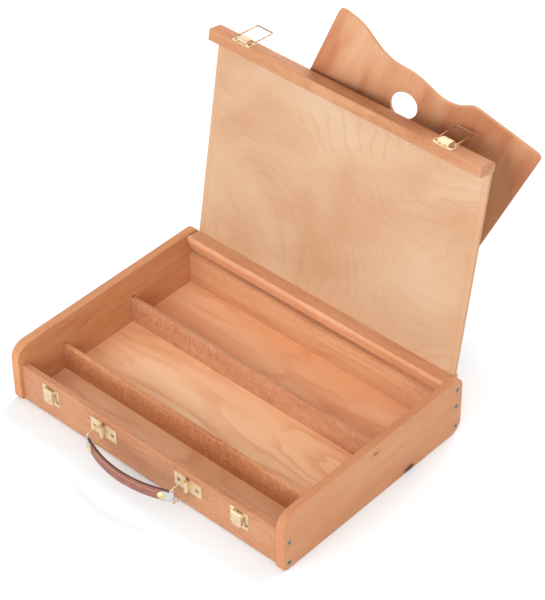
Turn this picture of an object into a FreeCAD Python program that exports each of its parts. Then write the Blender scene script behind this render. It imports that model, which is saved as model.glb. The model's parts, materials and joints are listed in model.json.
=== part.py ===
"""Wooden sketch box with a hinged lid, a leather handle, two draw latches and a palette.

Frame: millimetres, +X to the right along the box, +Y to the back, +Z up.  The origin is the
centre of the box's underside.  The lid is built closed and then turned back about its pivots
to the open position, and the palette stands behind it with one corner on the ground.
"""
import FreeCAD, Part
import math
import os
import Sketcher
from types import SimpleNamespace

Vector = FreeCAD.Vector
Rotation = FreeCAD.Rotation
Placement = FreeCAD.Placement

# name, value in millimetres or degrees, what it is
SIZES = (
    ("box_length", 400.0, "outer length over the side panels"),
    ("box_depth", 288.0, "side panel, front to back"),
    ("box_height", 76.0, "side panel height"),
    ("side_thick", 10.75, "side panel thickness"),
    ("front_top_round", 18.0, "side panel corner radius, front top"),
    ("front_low_round", 8.0, "side panel corner radius, front bottom"),
    ("back_low_round", 16.0, "side panel corner radius, back bottom"),
    ("back_top_round", 10.0, "side panel corner radius, back top"),
    ("side_edge_round", 1.6, "rounding along the side panel's edges"),
    ("front_inset", 5.2, "front rail behind the side panels' front edges"),
    ("front_rail_thick", 7.7, "front rail thickness"),
    ("front_rail_top", 49.9, "front rail top edge"),
    ("back_inset", 2.0, "back rail ahead of the side panels' back edges"),
    ("back_rail_thick", 15.8, "back rail thickness"),
    ("back_rail_top", 47.4, "back rail top edge"),
    ("rail_step", 1.6, "small rebate along the back rail's inner top edge"),
    ("rail_foot", 1.9, "rails' lower edge above the ground"),
    ("front_rail_round", 2.4, "rounding along the front rail's outer top edge"),
    ("back_rail_round", 1.5, "rounding along the back rail's outer lower edge"),
    ("floor_thick", 5.5, "plywood bottom thickness"),
    ("floor_let_in", 4.0, "depth that the bottom is let into its frame"),
    ("divider_thick", 6.0, "divider thickness"),
    ("divider_top", 39.1, "divider top edge"),
    ("divider_round", 0.8, "rounding along the divider's top"),
    ("front_divider_face", -76.9, "front divider's front face"),
    ("rear_divider_face", 30.5, "rear divider's front face"),
    ("dado_depth", 3.0, "groove in the side panel that holds a divider"),
    ("dado_over", 2.4, "groove reaches this far above the divider"),
    ("pivot_back", 135.1, "lid pivot, back from the centre"),
    ("pivot_high", 62.8, "lid pivot above the ground"),
    ("open_angle", 99.9, "lid turned back from closed"),
    ("lid_gap", 0.7, "gap at each end of the lid"),
    ("lid_front", 139.4, "lid's front face ahead of the centre"),
    ("lid_low", 50.7, "front batten's lower face, lid closed"),
    ("lid_high", 75.4, "lid's top face, closed"),
    ("front_batten_thick", 13.7, "front batten, front to back"),
    ("hinge_batten_front", 126.0, "hinge batten's front face"),
    ("hinge_batten_back", 143.9, "hinge batten's back face"),
    ("hinge_batten_low", 49.2, "hinge batten's lower face"),
    ("hinge_bevel_start", 131.0, "where the hinge batten's swing bevel starts"),
    ("hinge_bevel_high", 55.6, "top of that bevel, on the back face"),
    ("hinge_nose_round", 2.2, "rounding on the hinge batten's lower front edge"),
    ("hinge_heel_round", 3.0, "rounding where its bevel starts"),
    ("hinge_bevel_round", 2.0, "rounding at the top of its bevel"),
    ("batten_round", 1.2, "rounding along the front batten's lower edges"),
    ("lid_round", 9.0, "rounding along the lid's front and back top edges"),
    ("panel_low", 69.0, "lid panel's inner face, closed"),
    ("panel_thick", 3.5, "lid panel thickness"),
    ("panel_let_in", 5.0, "lid panel's depth in its battens"),
    ("screw_head", 3.6, "case screw head radius"),
    ("screw_shank", 1.9, "case screw shank radius"),
    ("screw_length", 32.0, "case screw length"),
    ("screw_sink", 2.4, "case screw head depth"),
    ("cross_half", 2.0, "case screw's cross slot, half its length"),
    ("cross_slit", 0.42, "cross slot, half its width"),
    ("cross_deep", 1.5, "cross slot depth"),
    ("pivot_shank", 2.2, "pivot screw shank radius"),
    ("pivot_play", 0.08, "radial clearance of the pivot screw in the lid"),
    ("pivot_length", 30.0, "pivot screw length"),
    ("bore_spare", 0.6, "pivot bore deeper than the screw"),
    ("front_screw_back", -134.6, "front case screws' line"),
    ("front_screw_low", 9.4, "lower front case screw"),
    ("front_screw_high", 38.1, "upper front case screw"),
    ("back_screw_back", 134.1, "back case screws' line"),
    ("back_screw_low", 11.3, "lower back case screw"),
    ("back_screw_high", 39.6, "upper back case screw"),
    ("latch_left", -143.5, "left latch centre line"),
    ("latch_right", 135.5, "right latch centre line"),
    ("plate_thick", 0.8, "brass sheet thickness"),
    ("sheet_lap", 0.1, "brass pieces run this far into each other where they join"),
    ("sheet_corner", 0.8, "brass plate corner radius"),
    ("small_head", 2.5, "hardware screw head radius"),
    ("small_dome", 1.0, "hardware screw head height"),
    ("small_slit", 0.35, "hardware screw slot, half its width"),
    ("small_slit_deep", 0.6, "hardware screw slot depth"),
    ("small_shank", 1.15, "hardware screw shank radius"),
    ("small_length", 6.0, "hardware screw shank length"),
    ("catch_wide", 25.5, "catch plate width"),
    ("catch_low", 22.2, "catch plate's lower edge"),
    ("catch_high", 45.7, "catch plate's upper edge"),
    ("catch_screw_out", 9.7, "catch plate screws, off its centre line"),
    ("catch_screw_high", 29.5, "catch plate screws' height"),
    ("catch_slot_half", 4.2, "catch plate's slot, half its width"),
    ("catch_slot_low", 2.2, "slot's lower edge below the plate's top"),
    ("catch_slot_high", 0.9, "slot's upper edge below the plate's top"),
    ("ear_gap", 0.35, "gap between the lever and each ear"),
    ("ear_thick", 0.9, "ear thickness"),
    ("ear_round", 1.5, "ear radius round the lever's pin"),
    ("lever_wide", 13.0, "latch lever width"),
    ("lever_low", 26.0, "latch lever's lower end"),
    ("lever_flank_low", 28.6, "lower end of the lever's side flanges"),
    ("lever_corner", 3.2, "lever's lower corner radius"),
    ("lever_brow", 1.6, "rounding over the lever's top fold"),
    ("flank_in", 0.4, "flanges reach this far behind the lever's pin line"),
    ("hook_play", 0.3, "radial clearance of the bail's bar in the flanges' hooks"),
    ("lever_proud", 4.9, "lever's outer face ahead of the catch plate"),
    ("lever_pivot_high", 42.4, "lever pin's height"),
    ("lever_pivot_out", 1.9, "lever pin ahead of the catch plate"),
    ("lever_pin", 0.7, "lever pin radius"),
    ("lever_pin_half", 7.75, "lever pin, half its length"),
    ("pin_play", 0.06, "radial clearance of pins and wire ends"),
    ("lever_knuckle", 1.45, "lever knuckle radius"),
    ("base_wide", 26.0, "bail base plate width"),
    ("base_corner", 2.4, "bail base plate corner radius"),
    ("base_low", 51.5, "bail base plate's lower edge, lid closed"),
    ("base_high", 68.0, "bail base plate's upper edge"),
    ("base_screw_out", 9.8, "bail base screws, off the centre line"),
    ("base_screw_high", 56.6, "bail base screws' height"),
    ("housing_wide", 14.0, "bail housing width"),
    ("housing_low", 53.6, "bail housing's lower edge"),
    ("housing_high", 64.6, "bail housing's upper edge"),
    ("housing_proud", 4.1, "bail housing ahead of its plate"),
    ("housing_round", 1.5, "rounding along the housing's two long edges"),
    ("notch_radius", 0.8, "small notches at the foot of the housing's lower side"),
    ("notch_out", 3.8, "notches, off the housing's centre line"),
    ("bail_high", 61.5, "bail pivot's height, lid closed"),
    ("bail_out", 2.2, "bail pivot ahead of its plate"),
    ("bail_reach", 30.0, "bail pivot to its far bar"),
    ("bail_half", 11.4, "bail leg, off the centre line"),
    ("bail_wire", 0.9, "bail wire radius"),
    ("bail_bend", 2.0, "bail corner bend radius"),
    ("bail_end", 3.5, "length of the bail's turned-in ends inside the housing"),
    ("bail_tilt", 5.0, "folded-back bail's angle off the batten's face"),
    ("handle_half", 62.5, "handle plates, off the box's centre"),
    ("handle_high", 33.5, "handle's middle height"),
    ("handle_plate_wide", 39.0, "handle plate width"),
    ("handle_plate_tall", 18.4, "handle plate height"),
    ("handle_screw_out", 13.2, "handle plate screws, off its centre"),
    ("knuckle_radius", 2.8, "handle knuckle radius"),
    ("knuckle_tall", 14.8, "handle knuckle height"),
    ("window_half", 2.4, "windows above and below the knuckle, half their width"),
    ("window_deep", 4.0, "depth of the windows' recess in the front rail"),
    ("knuckle_out", 2.6, "handle loop pivot ahead of the plate"),
    ("loop_reach", 20.5, "handle loop, pivot to far bar"),
    ("loop_half", 10.7, "handle loop leg above and below the middle"),
    ("loop_wire", 0.85, "handle loop wire radius"),
    ("loop_bend", 1.4, "handle loop corner bend radius"),
    ("strap_sag", 15.0, "strap's bow between the loops' bars"),
    ("strap_thick", 3.6, "strap thickness"),
    ("strap_tall", 16.0, "strap width"),
    ("clip_tall", 13.8, "strap end clip height"),
    ("clip_half", 2.5, "strap end clip half thickness"),
    ("clip_reach", 14.0, "strap end clip length from the bar"),
    ("clip_corner", 3.6, "strap end clip's corner radius over the leather"),
    ("clip_play", 0.09, "radial clearance of the clip on its bar"),
    ("strap_start", 3.5, "leather's end from the bar"),
    ("rivet_radius", 4.4, "strap rivet head radius"),
    ("rivet_inset", 1.9, "rivet's centre from the clip's end"),
    ("rivet_shank", 1.4, "strap rivet shank radius"),
    ("rivet_dome", 1.5, "strap rivet head height"),
    ("palette_wide", 257.0, "palette's short side"),
    ("palette_long", 372.0, "palette's long side"),
    ("palette_thick", 4.0, "palette thickness"),
    ("palette_corner", 8.0, "palette corner radius"),
    ("palette_edge", 0.7, "palette edge rounding"),
    ("wave_start", 18.0, "start of the palette's wave, from its left side"),
    ("wave_end", 178.0, "end of the palette's wave"),
    ("thumb_across", 107.5, "thumb hole centre from the palette's left side"),
    ("thumb_down", 73.0, "thumb hole centre from the palette's shaped side"),
    ("thumb_half_wide", 15.6, "thumb hole half width"),
    ("thumb_half_long", 22.9, "thumb hole half length"),
    ("palette_yaw", 7.4, "palette turned about the vertical"),
    ("palette_lean", 10.7, "palette leaning forward on the lid"),
    ("palette_roll", 25.2, "palette turned in its own plane"),
    ("palette_foot_right", 54.1, "palette's standing corner, right of the centre"),
    ("palette_foot_back", 271.3, "palette's standing corner, back from the centre"),
)


class Dim:
    """A length that keeps its value and its spreadsheet expression together."""

    def __init__(self, value, text):
        self.value = float(value)
        self.text = text

    def __add__(self, other):
        other = dim(other)
        return Dim(self.value + other.value, f"({self.text} + {other.text})")

    def __sub__(self, other):
        other = dim(other)
        return Dim(self.value - other.value, f"({self.text} - {other.text})")

    def __mul__(self, factor):
        return Dim(self.value * factor, f"({self.text} * {factor:g})")

    def __truediv__(self, factor):
        return Dim(self.value / factor, f"({self.text} / {factor:g})")

    def __neg__(self):
        return Dim(-self.value, f"(-{self.text})")

    def __radd__(self, other):
        return dim(other) + self

    def __rsub__(self, other):
        return dim(other) - self

    def __rmul__(self, factor):
        return self * factor


def dim(number):
    return number if isinstance(number, Dim) else Dim(number, f"{number:g}")


doc = FreeCAD.newDocument("sketch_box")
sheet = doc.addObject("Spreadsheet::Sheet", "sizes")
for row, (alias, value, note) in enumerate(SIZES, start=1):
    sheet.set(f"A{row}", alias)
    sheet.set(f"B{row}", f"{value:g}")
    sheet.set(f"C{row}", note)
    sheet.setAlias(f"B{row}", alias)
doc.recompute()
size = SimpleNamespace(**{alias: Dim(sheet.get(alias), f"sizes.{alias}") for alias, _, _ in SIZES})

# Lines that several pieces share.
half_inside = size.box_length / 2 - size.side_thick
front_face = -(size.box_depth / 2 - size.front_inset)
front_inner = front_face + size.front_rail_thick
back_outer = size.box_depth / 2 - size.back_inset
back_inner = back_outer - size.back_rail_thick
floor_front = front_inner - size.floor_let_in
floor_back = back_inner + size.floor_let_in
lid_half = half_inside - size.lid_gap
lid_face = -size.lid_front
lid_inner = lid_face + size.front_batten_thick
panel_high = size.panel_low + size.panel_thick
catch_face = front_face - size.plate_thick
base_face = lid_face - size.plate_thick
bail_line = base_face - size.bail_out
loop_line = catch_face - size.knuckle_out
bar_line = loop_line - size.loop_reach
lever_line = catch_face - size.lever_pivot_out
lever_outer = catch_face - size.lever_proud
lever_inner = lever_outer + size.plate_thick
AXES = {
    "x": Vector(1, 0, 0), "-x": Vector(-1, 0, 0), "y": Vector(0, 1, 0),
    "-y": Vector(0, -1, 0), "z": Vector(0, 0, 1),
}
LATCHES = (("left", size.latch_left), ("right", size.latch_right))
HANDLES = (("left", -size.handle_half), ("right", size.handle_half))
parts = []


def keep(obj, label):
    """Marks an object as one finished sub-part; its label names its file."""
    obj.Label = label
    parts.append(obj)
    return obj


def bind(obj, prop, length):
    obj.setExpression(prop, dim(length).text)


def move_to(obj, x, y, z):
    for axis, place in zip("xyz", (x, y, z)):
        bind(obj, f"Placement.Base.{axis}", place)


def box(name, low, high):
    """A block between two opposite corners."""
    obj = doc.addObject("Part::Box", name)
    for prop, start, end in zip(("Length", "Width", "Height"), low, high):
        bind(obj, prop, dim(end) - start)
    move_to(obj, *low)
    return obj


def rod(name, radius, length, start, axis):
    """A cylinder from a start point along an axis."""
    obj = doc.addObject("Part::Cylinder", name)
    obj.Placement = Placement(Vector(), Rotation(AXES["z"], AXES[axis]))
    bind(obj, "Radius", radius)
    bind(obj, "Height", length)
    move_to(obj, *start)
    return obj


def cone(name, radius, end_radius, length, start, axis):
    obj = doc.addObject("Part::Cone", name)
    obj.Placement = Placement(Vector(), Rotation(AXES["z"], AXES[axis]))
    bind(obj, "Radius1", radius)
    bind(obj, "Radius2", end_radius)
    bind(obj, "Height", length)
    move_to(obj, *start)
    return obj


def fuse(name, pieces):
    obj = doc.addObject("Part::MultiFuse", name)
    obj.Shapes = pieces
    obj.Refine = True
    return obj


def group(name, pieces):
    """Several separate solids in one object."""
    obj = doc.addObject("Part::Compound", name)
    obj.Links = pieces
    return obj


def cut(name, base, tools):
    obj = doc.addObject("Part::Cut", name)
    obj.Base = base
    obj.Tool = tools[0] if len(tools) == 1 else fuse(f"{name}_tools", tools)
    return obj


def rounded(name, base, edge_test, radius):
    """Rounds every edge of an object that passes the test."""
    doc.recompute()
    chosen = [i for i, edge in enumerate(base.Shape.Edges, 1) if edge_test(edge)]
    edges = [(i, radius.value, radius.value) for i in chosen]
    obj = doc.addObject("Part::Fillet", name)
    obj.Base = base
    obj.Edges = edges
    return obj


def near(a, b):
    return abs(dim(a).value - dim(b).value) < 1e-3


def straight(edge, axis):
    """True for a straight edge along an axis."""
    if edge.Curve.TypeId != "Part::GeomLine":
        return False
    return abs(edge.Curve.Direction.dot(AXES[axis])) > 0.999


def profile(name, outline, half_length):
    """A body with an outline in the YZ plane, padded both ways along X."""
    body = doc.addObject("PartDesign::Body", name)
    plane = next(f for f in body.Origin.OriginFeatures if f.Role == "YZ_Plane")
    sketch = body.newObject("Sketcher::SketchObject", f"{name}_outline")
    sketch.AttachmentSupport = (plane, "")
    sketch.MapMode = "FlatFace"
    corners = [(dim(y), dim(z)) for y, z in outline]
    count = len(corners)
    for i, (y, z) in enumerate(corners):
        next_y, next_z = corners[(i + 1) % count]
        line = Part.LineSegment(Vector(y.value, z.value, 0), Vector(next_y.value, next_z.value, 0))
        sketch.addGeometry(line, False)
    for i in range(count):
        sketch.addConstraint(Sketcher.Constraint("Coincident", i, 2, (i + 1) % count, 1))
    for i, corner in enumerate(corners):
        for kind, place in zip(("DistanceX", "DistanceY"), corner):
            index = sketch.addConstraint(Sketcher.Constraint(kind, -1, 1, i, 1, place.value))
            label = f"corner{i}{kind[-1]}"
            sketch.renameConstraint(index, label)
            bind(sketch, f"Constraints.{label}", place)
    pad = body.newObject("PartDesign::Pad", f"{name}_pad")
    pad.Profile = sketch
    pad.SideType = "Symmetric"
    bind(pad, "Length", dim(half_length) * 2)
    doc.recompute()
    return body


def round_edges(body, name, radius, edge_test):
    """Adds a fillet to a body, on the edges of its tip that pass the test."""
    tip = body.Tip
    names = [f"Edge{i}" for i, edge in enumerate(tip.Shape.Edges, 1) if edge_test(edge)]
    fillet = body.newObject("PartDesign::Fillet", f"{body.Name}_{name}")
    fillet.Base = (tip, names)
    bind(fillet, "Radius", radius)
    doc.recompute()
    return body


def line_at(y, z):
    """Test for an edge that runs along X through a point of the YZ plane."""

    def test(edge):
        start = edge.Vertexes[0].Point
        return straight(edge, "x") and near(start.y, y) and near(start.z, z)

    return test


def open_lid(obj):
    """Turns a piece that was built on the closed lid back to the open position."""
    pivot = f"vector(0; {size.pivot_back.text}; {size.pivot_high.text})"
    turn = f"rotation(vector(1; 0; 0); -{size.open_angle.text})"
    obj.setExpression("Placement", f"placement(vector(0; 0; 0); {turn}; {pivot})")
    return obj


# ---- Screws -----------------------------------------------------------------------------

def case_screw(name, shank, length):
    """Countersunk cross-head screw, head face at the origin, pointing along +Z."""
    head = cone(f"{name}_head", size.screw_head, shank, size.screw_sink, (0, 0, 0), "z")
    body = rod(f"{name}_shank", shank, length, (0, 0, 0), "z")
    long, slit = size.cross_half, size.cross_slit
    cross = [
        box(f"{name}_slot", (-long, -slit, -1), (long, slit, size.cross_deep)),
        box(f"{name}_cross_slot", (-slit, -long, -1), (slit, long, size.cross_deep)),
    ]
    return cut(name, fuse(f"{name}_solid", [head, body]), cross)


def hardware_screw(name):
    """Domed slotted screw, the underside of its head at the origin, shank along +Z."""
    radius, rise = size.small_head.value, size.small_dome.value
    ball = (radius ** 2 + rise ** 2) / (2 * rise)
    dome = doc.addObject("Part::Sphere", f"{name}_ball")
    dome.Radius = ball
    dome.Placement.Base.z = ball - rise
    head = doc.addObject("Part::Common", f"{name}_head")
    head.Base = dome
    rim_start = (0, 0, -size.small_dome - 1)
    head.Tool = rod(f"{name}_rim", size.small_head, size.small_dome + 1, rim_start, "z")
    shank = rod(f"{name}_shank", size.small_shank, size.small_length, (0, 0, 0), "z")
    long, slit = size.small_head + 1, size.small_slit
    slot_low = (-long, -slit, -size.small_dome - 1)
    slot = box(f"{name}_slot", slot_low, (long, slit, size.small_slit_deep - size.small_dome))
    return cut(name, fuse(f"{name}_solid", [head, shank]), [slot])


def placed_copies(name, master, places, axis):
    """Separate copies of one screw, each at its place and pointing along the axis."""
    links = []
    for i, place in enumerate(places):
        link = doc.addObject("App::Link", f"{name}_{i}")
        link.LinkedObject = master
        link.Placement = Placement(Vector(), Rotation(AXES["z"], AXES[axis]))
        move_to(link, *place)
        links.append(link)
    return links


CASE_SCREW_LINES = (
    (size.front_screw_back, size.front_screw_low), (size.front_screw_back, size.front_screw_high),
    (size.back_screw_back, size.back_screw_low), (size.back_screw_back, size.back_screw_high),
)
half_box = size.box_length / 2
case_master = case_screw("case_screw", size.screw_shank, size.screw_length)
pivot_master = case_screw("pivot_screw", size.pivot_shank, size.pivot_length)
small_master = hardware_screw("hardware_screw")

left_places = [(-half_box, y, z) for y, z in CASE_SCREW_LINES]
right_places = [(half_box, y, z) for y, z in CASE_SCREW_LINES]
case_screws = placed_copies("case_left", case_master, left_places, "x")
case_screws += placed_copies("case_right", case_master, right_places, "-x")
keep(group("case_screw_set", case_screws), "case_screws")
pivot_place = (size.pivot_back, size.pivot_high)
pivot_screws = placed_copies("pivot_left", pivot_master, [(-half_box, *pivot_place)], "x")
pivot_screws += placed_copies("pivot_right", pivot_master, [(half_box, *pivot_place)], "-x")
keep(group("pivot_screw_set", pivot_screws), "pivot_screws")


def pairs(centres, out, y, z):
    """Places of two screws beside each centre line."""
    return [(x + side * out, y, z) for _, x in centres for side in (-1, 1)]


catch_screw_places = pairs(LATCHES, size.catch_screw_out, catch_face, size.catch_screw_high)
handle_screw_places = pairs(HANDLES, size.handle_screw_out, catch_face, size.handle_high)
base_screw_places = pairs(LATCHES, size.base_screw_out, base_face, size.base_screw_high)
catch_screws = group("catch_screw_set", placed_copies("catch_fix", small_master, catch_screw_places, "y"))
keep(catch_screws, "latch_plate_screws")
handle_screws = group("handle_screw_set", placed_copies("handle_fix", small_master, handle_screw_places, "y"))
keep(handle_screws, "handle_plate_screws")
base_screws = group("base_screw_set", placed_copies("base_fix", small_master, base_screw_places, "y"))
keep(open_lid(base_screws), "lid_latch_screws")


def screw_holes(name, places):
    """Holes that the hardware screws fill exactly."""
    length = size.small_length
    return [rod(f"{name}_{i}", size.small_shank, length, place, "y") for i, place in enumerate(places)]


# ---- The box ----------------------------------------------------------------------------

def side_panel():
    """Left side panel: rounded corners, divider grooves, a rebate for the bottom, screw holes."""
    depth, height = size.box_depth / 2, size.box_height
    outline = ((-depth, 0), (depth, 0), (depth, height), (-depth, height))
    body = profile("side_blank", outline, size.side_thick / 2)
    corners = (
        ("front_top", -depth, height, size.front_top_round), ("front_low", -depth, 0, size.front_low_round),
        ("back_low", depth, 0, size.back_low_round), ("back_top", depth, height, size.back_top_round),
    )
    for name, y, z, radius in corners:
        round_edges(body, name, radius, line_at(y, z))
    round_edges(body, "rim", size.side_edge_round, lambda edge: not straight(edge, "x"))
    move_to(body, -half_box + size.side_thick / 2, 0, 0)
    inner = -half_inside
    rebate_low = (inner - size.floor_let_in, floor_front, -1)
    tools = [box("floor_rebate", rebate_low, (inner + 1, floor_back, size.floor_thick))]
    for name, face in (("front", size.front_divider_face), ("rear", size.rear_divider_face)):
        low = (inner - size.dado_depth, face, size.floor_thick - 0.5)
        high = (inner + 1, face + size.divider_thick, size.divider_top + size.dado_over)
        tools.append(box(f"dado_{name}", low, high))
    screws = [(y, z, size.screw_shank) for y, z in CASE_SCREW_LINES] + [(*pivot_place, size.pivot_shank)]
    for i, (y, z, shank) in enumerate(screws):
        tools.append(rod(f"side_hole{i}", shank, size.side_thick + 2, (-half_box - 1, y, z), "x"))
        tools.append(cone(f"side_sink{i}", size.screw_head, shank, size.screw_sink, (-half_box, y, z), "x"))
    left = keep(cut("side_left", body, tools), "side_panel_left")
    right = doc.addObject("Part::Mirroring", "side_right")
    right.Source = left
    right.Normal = AXES["x"]
    keep(right, "side_panel_right")


def end_holes(name, y, heights):
    """Screw holes in both ends of a rail."""
    holes = []
    for i, z in enumerate(heights):
        depth = size.screw_length - size.side_thick
        holes.append(rod(f"{name}_left{i}", size.screw_shank, depth, (-half_inside, y, z), "x"))
        holes.append(rod(f"{name}_right{i}", size.screw_shank, depth, (half_inside, y, z), "-x"))
    return holes


def front_rail():
    outline = (
        (front_face, size.rail_foot), (floor_front, size.rail_foot),
        (floor_front, size.floor_thick), (front_inner, size.floor_thick),
        (front_inner, size.front_rail_top), (front_face, size.front_rail_top),
    )
    body = profile("front_rail_body", outline, half_inside)
    round_edges(body, "top_round", size.front_rail_round, line_at(front_face, size.front_rail_top))
    holes = end_holes("front_end", size.front_screw_back, (size.front_screw_low, size.front_screw_high))
    holes += screw_holes("catch_hole", catch_screw_places) + screw_holes("handle_hole", handle_screw_places)
    for side, x in HANDLES:
        holes += knuckle_windows(f"rail_{side}", x, size.window_deep)
    keep(cut("front_rail_cut", body, holes), "front_rail")


def back_rail():
    step_front, step_low = back_inner + size.rail_step, size.back_rail_top - size.rail_step
    outline = (
        (back_inner, size.floor_thick), (floor_back, size.floor_thick), (floor_back, size.rail_foot),
        (back_outer, size.rail_foot), (back_outer, size.back_rail_top), (step_front, size.back_rail_top),
        (step_front, step_low), (back_inner, step_low),
    )
    body = profile("back_rail_body", outline, half_inside)
    round_edges(body, "low_round", size.back_rail_round, line_at(back_outer, size.rail_foot))
    holes = end_holes("back_end", size.back_screw_back, (size.back_screw_low, size.back_screw_high))
    keep(cut("back_rail_cut", body, holes), "back_rail")


def bottom_panel():
    outline = (
        (floor_front, 0), (floor_back, 0), (floor_back, size.floor_thick), (floor_front, size.floor_thick),
    )
    keep(profile("bottom_body", outline, half_inside + size.floor_let_in), "bottom_panel")


def divider(name, face):
    back, low, high = face + size.divider_thick, size.floor_thick, size.divider_top
    outline = ((face, low), (back, low), (back, high), (face, high))
    body = profile(f"{name}_body", outline, half_inside + size.dado_depth)
    top = (line_at(face, high), line_at(back, high))
    round_edges(body, "top", size.divider_round, lambda edge: any(test(edge) for test in top))
    keep(body, name)


# ---- The lid ----------------------------------------------------------------------------

def lid_panel():
    front, back = lid_inner - size.panel_let_in, size.hinge_batten_front + size.panel_let_in
    outline = ((front, size.panel_low), (back, size.panel_low), (back, panel_high), (front, panel_high))
    keep(open_lid(profile("lid_panel_body", outline, lid_half)), "lid_panel")


def lid_front_batten():
    groove = lid_inner - size.panel_let_in
    outline = (
        (lid_face, size.lid_low), (lid_inner, size.lid_low), (lid_inner, size.panel_low),
        (groove, size.panel_low), (groove, panel_high), (lid_inner, panel_high),
        (lid_inner, size.lid_high), (lid_face, size.lid_high),
    )
    body = profile("front_batten_body", outline, lid_half)
    round_edges(body, "top_round", size.lid_round, line_at(lid_face, size.lid_high))
    low = (line_at(lid_face, size.lid_low), line_at(lid_inner, size.lid_low))
    round_edges(body, "low_round", size.batten_round, lambda edge: any(test(edge) for test in low))
    batten = cut("front_batten_cut", body, screw_holes("base_hole", base_screw_places))
    keep(open_lid(batten), "lid_front_batten")


def lid_hinge_batten():
    """Turns on the two pivot screws; its lower back edge is bevelled to clear the back rail."""
    front, back, low = size.hinge_batten_front, size.hinge_batten_back, size.hinge_batten_low
    groove = front + size.panel_let_in
    outline = (
        (front, low), (size.hinge_bevel_start, low), (back, size.hinge_bevel_high), (back, size.lid_high),
        (front, size.lid_high), (front, panel_high), (groove, panel_high), (groove, size.panel_low),
        (front, size.panel_low),
    )
    body = profile("hinge_batten_body", outline, lid_half)
    round_edges(body, "top_round", size.lid_round, line_at(back, size.lid_high))
    round_edges(body, "nose", size.hinge_nose_round, line_at(front, low))
    round_edges(body, "heel", size.hinge_heel_round, line_at(size.hinge_bevel_start, low))
    round_edges(body, "bevel", size.hinge_bevel_round, line_at(back, size.hinge_bevel_high))
    bore = size.pivot_shank + size.pivot_play
    depth = size.pivot_length - size.side_thick + size.bore_spare
    holes = [
        rod("pivot_bore_left", bore, depth, (-half_inside, *pivot_place), "x"),
        rod("pivot_bore_right", bore, depth, (half_inside, *pivot_place), "-x"),
    ]
    keep(open_lid(cut("hinge_batten_cut", body, holes)), "lid_hinge_batten")


# ---- Latches ----------------------------------------------------------------------------

def plate_with_corners(name, low, high, radius):
    """A thin plate facing -Y with its four corners rounded."""
    blank = box(f"{name}_blank", low, high)
    return rounded(f"{name}_sheet", blank, lambda edge: straight(edge, "y"), radius)


def through_holes(name, x, out, face, z):
    """Two screw holes right through a brass plate."""
    places = [(x + side * out, face - 0.5, z) for side in (-1, 1)]
    length = size.plate_thick + 1
    return [rod(f"{name}_hole{i}", size.small_shank, length, place, "y") for i, place in enumerate(places)]


def catch_plate(side, x):
    """Plate on the front rail, with two ears that hold the lever's pin."""
    half, pivot = size.catch_wide / 2, size.lever_pivot_high
    low, high = (x - half, catch_face, size.catch_low), (x + half, front_face, size.catch_high)
    solids = [plate_with_corners(f"catch_{side}", low, high, size.sheet_corner)]
    ear_out = size.lever_wide / 2 + size.ear_gap
    for word, start in (("outer", x - ear_out - size.ear_thick), ("inner", x + ear_out)):
        foot_low = (start, lever_line, pivot - size.ear_round)
        foot_high = (start + size.ear_thick, catch_face + size.sheet_lap, pivot + size.ear_round)
        ear_start = (start, lever_line, pivot)
        solids.append(rod(f"ear_{side}_{word}", size.ear_round, size.ear_thick, ear_start, "x"))
        solids.append(box(f"ear_foot_{side}_{word}", foot_low, foot_high))
    pin_start, pin_length = (x - size.lever_pin_half, lever_line, pivot), size.lever_pin_half * 2
    slot_low = (x - size.catch_slot_half, catch_face - 1, size.catch_high - size.catch_slot_low)
    slot_high = (x + size.catch_slot_half, front_face + 1, size.catch_high - size.catch_slot_high)
    holes = through_holes(f"catch_{side}", x, size.catch_screw_out, catch_face, size.catch_screw_high)
    holes.append(rod(f"ear_hole_{side}", size.lever_pin, pin_length, pin_start, "x"))
    holes.append(box(f"catch_slot_{side}", slot_low, slot_high))
    keep(cut(f"catch_plate_{side}", fuse(f"catch_solid_{side}", solids), holes), f"latch_plate_{side}")
    keep(rod(f"lever_pin_{side}", size.lever_pin, pin_length, pin_start, "x"), f"latch_pin_{side}")


def lever(side, x):
    """Folded sheet lever: face, top fold, a knuckle, and side flanges with hooks for the bail."""
    half, pivot = size.lever_wide / 2, size.lever_pivot_high
    left, right, top = x - half, x + half, pivot + size.lever_knuckle
    sheet = box(f"lever_sheet_{side}", (left, lever_outer, size.lever_low), (right, lever_inner, top))

    def low_corner(edge):
        return straight(edge, "y") and edge.CenterOfMass.z < size.lever_low.value + 1

    def top_fold(edge):
        middle = edge.CenterOfMass
        return straight(edge, "x") and near(middle.y, lever_outer) and near(middle.z, top)

    solids = [
        rounded(f"lever_face_{side}", sheet, low_corner, size.lever_corner),
        box(f"lever_fold_{side}", (left, lever_outer, top - size.plate_thick), (right, lever_line, top)),
        rod(f"lever_knuckle_{side}", size.lever_knuckle, size.lever_wide, (left, lever_line, pivot), "x"),
    ]
    for word, start in (("outer", left), ("inner", right - size.plate_thick)):
        low = (start, lever_outer, size.lever_flank_low)
        high = (start + size.plate_thick, lever_line + size.flank_in, top - size.plate_thick / 2)
        solids.append(box(f"lever_flange_{side}_{word}", low, high))
    brow = rounded(f"lever_brow_{side}", fuse(f"lever_solid_{side}", solids), top_fold, size.lever_brow)
    hook, bar_high = size.bail_wire + size.hook_play, size.bail_high - size.bail_reach
    start, width = left - 1, size.lever_wide + 2
    mouth_low, mouth_high = (start, bail_line, bar_high - hook), (right + 1, lever_line + 1, bar_high + hook)
    tools = [
        rod(f"lever_bore_{side}", size.lever_pin + size.pin_play, width, (start, lever_line, pivot), "x"),
        rod(f"lever_hook_{side}", hook, width, (start, bail_line, bar_high), "x"),
        box(f"lever_mouth_{side}", mouth_low, mouth_high),
    ]
    keep(cut(f"lever_{side}", brow, tools), f"latch_lever_{side}")


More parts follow.
